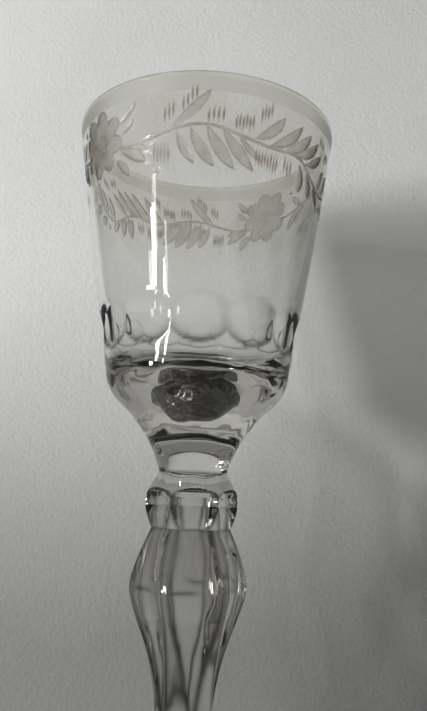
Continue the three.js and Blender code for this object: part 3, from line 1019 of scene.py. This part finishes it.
def makeStageFinish(form):
    # the wall is shaded towards its foot and sides, its ends are clear, and it can't be seen from behind
    finish = bpy.data.materials.new("paleStage")
    finish.use_nodes = True
    tree = finish.node_tree
    shader = tree.nodes["Principled BSDF"]
    shader.inputs["Roughness"].default_value = 1.0
    shader.inputs["Specular IOR Level"].default_value = 0.0
    place = readPlace(tree)
    spot = splitPlace(tree, place)
    across = addMath(tree, "ABSOLUTE", spot["X"])
    clouds = addRamp(tree, addNoise(tree, place, *form["clouds"]), *form["cloudRange"])
    lit = times(tree, addRamp(tree, spot["Z"], *form["litHeights"]),
                addRamp(tree, across, *form["litSides"]))
    lit = addMath(tree, "SUBTRACT", lit, times(tree, clouds, form["cloud"]), True)
    floor = addRamp(tree, spot["Y"], *form["floorEdge"])   # the floor keeps its colour
    colour = mixColour(tree, addMath(tree, "MAXIMUM", lit, floor), form["shade"], form["colour"])
    tree.links.new(colour, shader.inputs["Base Color"])
    addBump(tree, addNoise(tree, place, *form["plaster"]), form["plasterHeight"], shader)
    ends = addMath(tree, "MAXIMUM", addRamp(tree, across, *form["clearSides"]),
                   addRamp(tree, spot["Z"], *form["clearHeights"]))
    ends = times(tree, ends, addMath(tree, "SUBTRACT", 1.0, floor))
    back = tree.nodes.new("ShaderNodeNewGeometry").outputs["Backfacing"]
    unseen = tree.nodes.new("ShaderNodeBsdfTransparent")
    mix = tree.nodes.new("ShaderNodeMixShader")
    tree.links.new(addMath(tree, "MAXIMUM", back, ends), mix.inputs[0])
    tree.links.new(shader.outputs[0], mix.inputs[1])
    tree.links.new(unseen.outputs[0], mix.inputs[2])
    tree.links.new(mix.outputs[0], tree.nodes["Material Output"].inputs["Surface"])
    return finish


def makeStage(form):
    # a floor whose far edge is extruded up into the wall
    bpy.ops.object.select_all(action="DESELECT")
    bpy.ops.mesh.primitive_plane_add(size=1, location=(0, 0, 0))
    stage = bpy.context.object
    stage.name = "paleFloorAndWall"
    for corner, y in zip(stage.data.vertices, (form["front"], form["front"], form["wallY"], form["wallY"])):
        corner.co = (math.copysign(form["half"], corner.co.x), y, 0)
    bpy.ops.object.mode_set(mode="EDIT")
    bpy.ops.mesh.select_all(action="DESELECT")
    bpy.ops.object.mode_set(mode="OBJECT")
    for edge in stage.data.edges:
        edge.select = all(stage.data.vertices[i].co.y > 0 for i in edge.vertices)
    bpy.ops.object.mode_set(mode="EDIT")
    bpy.ops.mesh.select_mode(type="EDGE")
    bpy.ops.mesh.extrude_region_move(TRANSFORM_OT_translate={"value": (0, 0, form["wallTop"])})
    bpy.ops.object.mode_set(mode="OBJECT")
    stage.data.materials.append(makeStageFinish(form))


lampForm = {   # place, target, width and height in metres, and power
    "windowPane": ((-0.75, -0.515, 0.07), (0.03, -0.036, 0.15), (0.09, 0.12), 4.0),
    "windowTop": ((-0.69, -0.60, 0.19), (-0.015, -0.036, 0.14), (0.06, 0.14), 1.5),
    "windowEdge": ((-0.576, -0.73, 0.09), (-0.01, -0.03, 0.14), (0.032, 0.15), 0.9),
    "softFront": ((-0.46, -0.46, 1.05), (0.02, 0.05, 0.12), (0.10, 0.07), 2.6),
}
worldForm = {"seen": (0.22, 0.221, 0.218), "room": (0.1, 0.097, 0.094)}
cameraForm = {
    "back": 0.2179, "height": 0.0923, "pitch": 10.87, "roll": 2.19, "pan": 1.24,
    "focal": 726.1, "frameHeight": 711, "sensor": 36, "nearest": 0.001,
}
lightPaths = {"max_bounces": 24, "transmission_bounces": 24, "transparent_max_bounces": 16}


def makeLamp(name, place, target, size, power):
    lamp = bpy.data.lights.new(name, "AREA")
    lamp.shape = "RECTANGLE"
    lamp.size, lamp.size_y = size
    lamp.energy = power
    holder = bpy.data.objects.new(name, lamp)
    bpy.context.scene.collection.objects.link(holder)
    holder.location = place
    holder.rotation_euler = (Vector(target) - Vector(place)).to_track_quat("-Z", "Y").to_euler()


def makeWorld(form):
    # the camera and the glass see one grey room, and its light on the wall stays low
    world = bpy.data.worlds.new("dimRoom")
    bpy.context.scene.world = world
    world.use_nodes = True
    tree = world.node_tree
    path = tree.nodes.new("ShaderNodeLightPath").outputs
    inGlass = addMath(tree, "MAXIMUM", path["Is Glossy Ray"], path["Is Transmission Ray"])
    seen = addMath(tree, "MAXIMUM", path["Is Camera Ray"], inGlass)
    tree.links.new(mixColour(tree, seen, form["room"], form["seen"]), tree.nodes["Background"].inputs[0])


def makeCamera(form):
    data = bpy.data.cameras.new("photoCamera")
    camera = bpy.data.objects.new("photoCamera", data)
    bpy.context.scene.collection.objects.link(camera)
    camera.location = (0, -form["back"], form["height"])
    turn = Matrix.Rotation(-math.radians(form["pan"]), 3, "Z")
    turn = turn @ Matrix.Rotation(math.radians(90 + form["pitch"]), 3, "X")
    turn = turn @ Matrix.Rotation(math.radians(form["roll"]), 3, "Z")
    camera.rotation_euler = turn.to_euler()
    data.sensor_fit = "VERTICAL"
    data.sensor_height = data.sensor_width = form["sensor"]
    data.lens = form["focal"] * form["sensor"] / form["frameHeight"]
    data.clip_start = form["nearest"]
    bpy.context.scene.camera = camera


makeStage(stageForm)
for name, values in lampForm.items():
    makeLamp(name, *values)
makeWorld(worldForm)
makeCamera(cameraForm)
bpy.context.scene.view_settings.view_transform = "Standard"
for name, count in lightPaths.items():
    setattr(bpy.context.scene.cycles, name, count)
print("scene ready")
